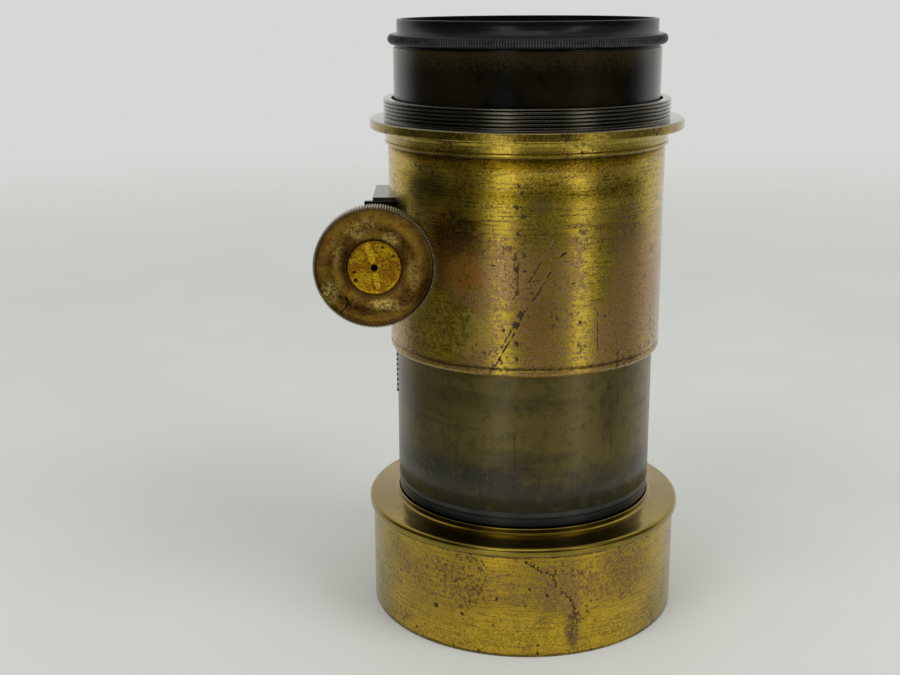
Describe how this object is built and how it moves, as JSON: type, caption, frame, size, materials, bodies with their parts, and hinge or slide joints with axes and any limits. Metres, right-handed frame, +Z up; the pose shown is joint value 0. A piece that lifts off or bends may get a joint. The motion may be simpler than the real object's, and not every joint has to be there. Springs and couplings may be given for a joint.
{
  "type": "rack and pinion projection lens",
  "caption": "Brass projection lens: hooded inner tube with two glass groups, sliding in a threaded outer sleeve by rack and pinion with a knurled side knob.",
  "frame": {"origin": "centre of the hood's open rim, on the plane it stands on", "axes": "+Z up along the optical axis from the hood to the rear cell; rack and pinion on the -X side; focusing knob faces -Y"},
  "size_m": [0.0965, 0.0854, 0.1584],
  "materials": {
    "hood_brass": "worn lacquer, tarnished",
    "sleeve_brass": "turned, worn lacquer with copper-brown patches",
    "collar_brass": "turned, dark patina on thread and flange top",
    "dark_brass": "dark bronzed",
    "lacquered_brass": "dark olive-brown lacquer, worn",
    "rack_brass": "cut teeth, tarnished",
    "black_lacquer": "black satin lacquer",
    "knob_brass": "brown tarnish, knurled edge",
    "hub_brass": "bright, pitted",
    "dark_steel": "blued, oxidised",
    "pinion_steel": "turned, oiled",
    "lens_glass": "polished"
  },
  "bodies": {
    "lens_tube": {"hood_tube": "hood_brass", "hood_plate": "hood_brass", "front_cell": "dark_brass", "front_crown_lens": "lens_glass", "front_flint_lens": "lens_glass", "front_retaining_ring": "black_lacquer", "drawtube": "lacquered_brass", "rack": "rack_brass", "rack_screws": "dark_steel", "rear_cell": "black_lacquer", "rear_cell_rim": "black_lacquer", "rear_flint_lens": "lens_glass", "rear_spacer_ring": "black_lacquer", "rear_crown_lens": "lens_glass", "rear_retaining_ring": "black_lacquer"},
    "sleeve": {"outer_sleeve": "sleeve_brass", "threaded_collar": "collar_brass", "collar_thread": "collar_brass", "pinion_saddle": "dark_brass", "pinion_cover": "dark_brass", "front_bearing_plate": "dark_steel", "rear_bearing_plate": "dark_steel", "saddle_screws": "dark_steel", "cover_screws": "dark_steel", "plate_screws": "dark_steel"},
    "pinion": {"pinion_shaft": "pinion_steel", "knob_hub": "hub_brass", "focus_knob": "knob_brass", "knob_pin": "pinion_steel"}
  },
  "joints": [
    {"name": "focus_slide", "type": "slide", "parent": "lens_tube", "child": "sleeve", "axis": [0, 0, 1], "range_m": [-0.034, 0.0125]},
    {"name": "pinion_turn", "type": "hinge", "parent": "sleeve", "child": "pinion", "pos_m": [-0.0388, 0, 0.1004], "axis": [0, 1, 0], "range_deg": [-435, 162]}
  ],
  "couplings": [
    {"joint": "pinion_turn", "follows": "focus_slide", "rad_per_m": 222.22}
  ]
}
